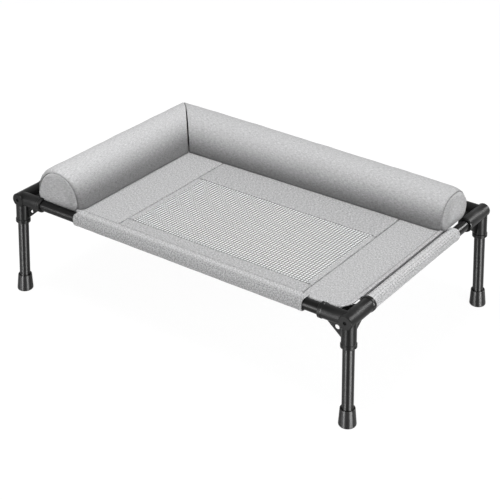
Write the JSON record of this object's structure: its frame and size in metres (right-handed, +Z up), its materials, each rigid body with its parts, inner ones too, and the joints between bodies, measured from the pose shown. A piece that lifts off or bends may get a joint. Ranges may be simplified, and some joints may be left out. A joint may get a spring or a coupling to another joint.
{
  "type": "raised dog cot",
  "caption": "Raised dog cot: a tube frame on splayed legs with a slung cloth deck, a mesh window and an L-shaped bolster that lifts off.",
  "frame": {"origin": "on the floor, under the middle of the deck", "axes": "+X along the long side to the right of the open front, -Y towards the open front, +Z up"},
  "size_m": [0.8386, 0.5406, 0.2968],
  "materials": {
    "black_plastic": "satin",
    "black_tube": "satin",
    "black_rubber": "matte",
    "deck_cloth": "matte",
    "mesh": "matte",
    "bolster_cloth": "matte",
    "fill": "matte",
    "hook_loop": "matte",
    "screw_steel": "satin"
  },
  "bodies": {
    "frame": {"corner_front_left": "black_plastic", "corner_front_right": "black_plastic", "corner_back_left": "black_plastic", "corner_back_right": "black_plastic", "leg_front_left": "black_tube", "leg_front_right": "black_tube", "leg_back_left": "black_tube", "leg_back_right": "black_tube", "foot_front_left": "black_rubber", "foot_front_right": "black_rubber", "foot_back_left": "black_rubber", "foot_back_right": "black_rubber", "rail_front": "black_tube", "rail_back": "black_tube", "rail_left": "black_tube", "rail_right": "black_tube", "sleeve_front": "deck_cloth", "sleeve_back": "deck_cloth", "sleeve_left": "deck_cloth", "sleeve_right": "deck_cloth", "deck_left_panel": "deck_cloth", "deck_right_panel": "deck_cloth", "deck_front_strip": "deck_cloth", "deck_back_strip": "deck_cloth", "mesh_panel": "mesh", "loop_strips": "hook_loop", "corner_screws": "screw_steel", "rail_plugs": "black_plastic"},
    "bolster": {"bolster_left_cover": "bolster_cloth", "bolster_back_cover": "bolster_cloth", "bolster_front_cap": "bolster_cloth", "bolster_right_cap": "bolster_cloth", "bolster_left_base": "bolster_cloth", "bolster_back_base": "bolster_cloth", "bolster_left_core": "fill", "bolster_back_core": "fill", "hook_strips": "hook_loop"}
  },
  "joints": [
    {"name": "bolster_lift", "type": "slide", "parent": "frame", "child": "bolster", "axis": [0, 0, 1], "range_m": [0, 0.25]}
  ]
}
